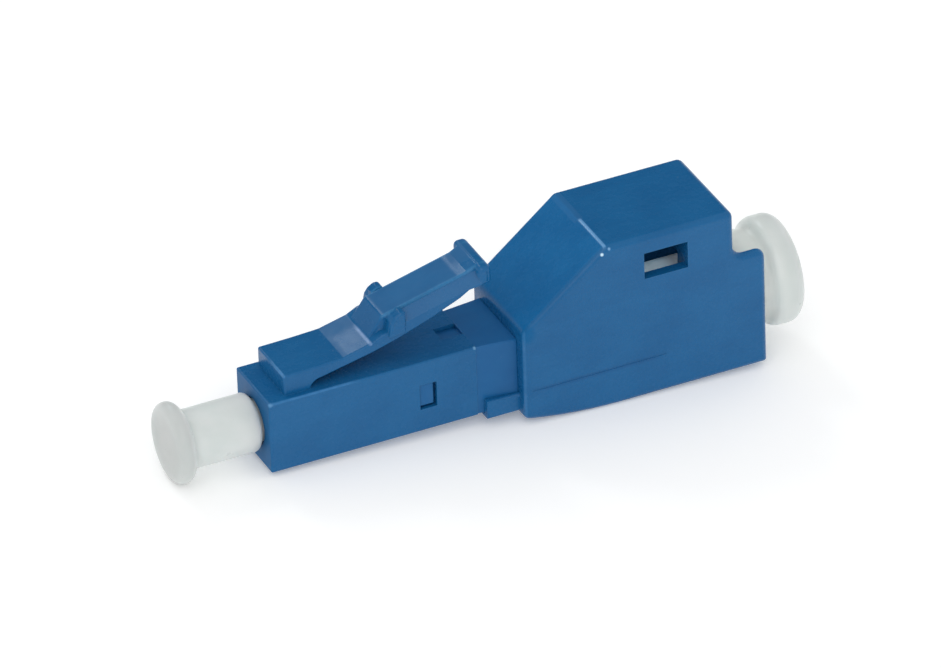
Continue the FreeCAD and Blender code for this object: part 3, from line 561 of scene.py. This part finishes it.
# ------------------------------------------------------------------ floor, light, camera
# the floor touches the curved belly and the front cap's rim, as the part rests
FLOOR_X, FLOOR_Z, FLOOR_TILT = -4.87, -2.372, math.atan2(-3.335 + 2.372, 19.9 + 4.87)
me = bpy.data.meshes.new("floor")
half = 6.0
me.from_pydata([(-half, -half, 0), (half, -half, 0), (half, half, 0), (-half, half, 0)], [], [(0, 1, 2, 3)])
floor = add_object("floor", me)
floor.matrix_world = Matrix.Translation((FLOOR_X * MM, 0, FLOOR_Z * MM)) @ Matrix.Rotation(-FLOOR_TILT, 4, "Y")
fm = bpy.data.materials.new("pale_floor")
fm.use_nodes = True
fb = fm.node_tree.nodes["Principled BSDF"]
fb.inputs["Base Color"].default_value = (0.93, 0.93, 0.925, 1.0)
fb.inputs["Roughness"].default_value = 0.9
fb.inputs["Specular IOR Level"].default_value = 0.1
fb.inputs["Emission Color"].default_value = (1.0, 1.0, 0.995, 1.0)
fb.inputs["Emission Strength"].default_value = 0.20
floor.data.materials.append(fm)

world = bpy.data.worlds.new("studio")
scene.world = world
world.use_nodes = True
wt = world.node_tree
bg = wt.nodes["Background"]
# an even white tent; polished faces also mirror one dark opening behind the part, too far off to dim its light
tc = wt.nodes.new("ShaderNodeTexCoord")
toward = wt.nodes.new("ShaderNodeVectorMath")
toward.operation = "DOT_PRODUCT"
toward.inputs[1].default_value = Vector((0.02, 0.78, 0.58)).normalized()
wt.links.new(tc.outputs["Generated"], toward.inputs[0])
opening = wt.nodes.new("ShaderNodeMapRange")
opening.interpolation_type = "SMOOTHSTEP"
for key, val in (("From Min", 0.63), ("From Max", 0.87), ("To Min", 0.0), ("To Max", 1.0)):
    opening.inputs[key].default_value = val
wt.links.new(toward.outputs["Value"], opening.inputs["Value"])
tent = wt.nodes.new("ShaderNodeMix")
tent.data_type = "RGBA"
tent.inputs[6].default_value = (0.72, 0.725, 0.73, 1)
tent.inputs[7].default_value = (0.05, 0.052, 0.056, 1)
path = wt.nodes.new("ShaderNodeLightPath")
seen = wt.nodes.new("ShaderNodeMath")
seen.operation = "MULTIPLY"
wt.links.new(opening.outputs["Result"], seen.inputs[0])
wt.links.new(path.outputs["Is Glossy Ray"], seen.inputs[1])
wt.links.new(seen.outputs[0], tent.inputs[0])
wt.links.new(tent.outputs[2], bg.inputs["Color"])
bg.inputs["Strength"].default_value = 1.0

TARGET = Vector((0.0135, 0.0, 0.001))


def softbox(name, direction, distance, size, power, colour=(1, 1, 1), size_y=None):
    d = bpy.data.lights.new(name, "AREA")
    d.shape = "RECTANGLE"
    d.size = size
    d.size_y = size_y if size_y else size
    d.energy = power
    d.color = colour
    o = bpy.data.objects.new(name, d)
    scene.collection.objects.link(o)
    u = Vector(direction).normalized()
    o.location = TARGET + u * distance
    o.rotation_mode = "QUATERNION"
    o.rotation_quaternion = u.to_track_quat("Z", "Y")
    return o


softbox("key", (-0.34, -0.66, 0.67), 0.55, 0.40, 0.55)
softbox("top", (-0.30, -0.10, 1.0), 0.55, 0.40, 0.14)
softbox("lamp", (0.04, -0.71, 0.71), 0.55, 0.045, 0.09)
softbox("back_strip", (-0.05, 0.77, 0.64), 0.50, 0.08, 0.27, (0.93, 1.0, 1.03), size_y=0.14)

cam_data = bpy.data.cameras.new("camera")
cam_data.sensor_fit = "HORIZONTAL"
cam_data.sensor_width = 36.0
cam_data.lens = 459.0861
cam_data.clip_start, cam_data.clip_end = 0.05, 60.0
cam = bpy.data.objects.new("camera", cam_data)
scene.collection.objects.link(cam)
cam.matrix_world = Matrix((
    (0.90415835, 0.25378814, -0.34364118, -0.2168323),
    (-0.42609098, 0.47788932, -0.76815902, -0.5145514),
    (-0.0307272, 0.8409598, 0.54022445, 0.3635393),
    (0, 0, 0, 1)))
scene.camera = cam
scene.view_settings.view_transform = "Standard"
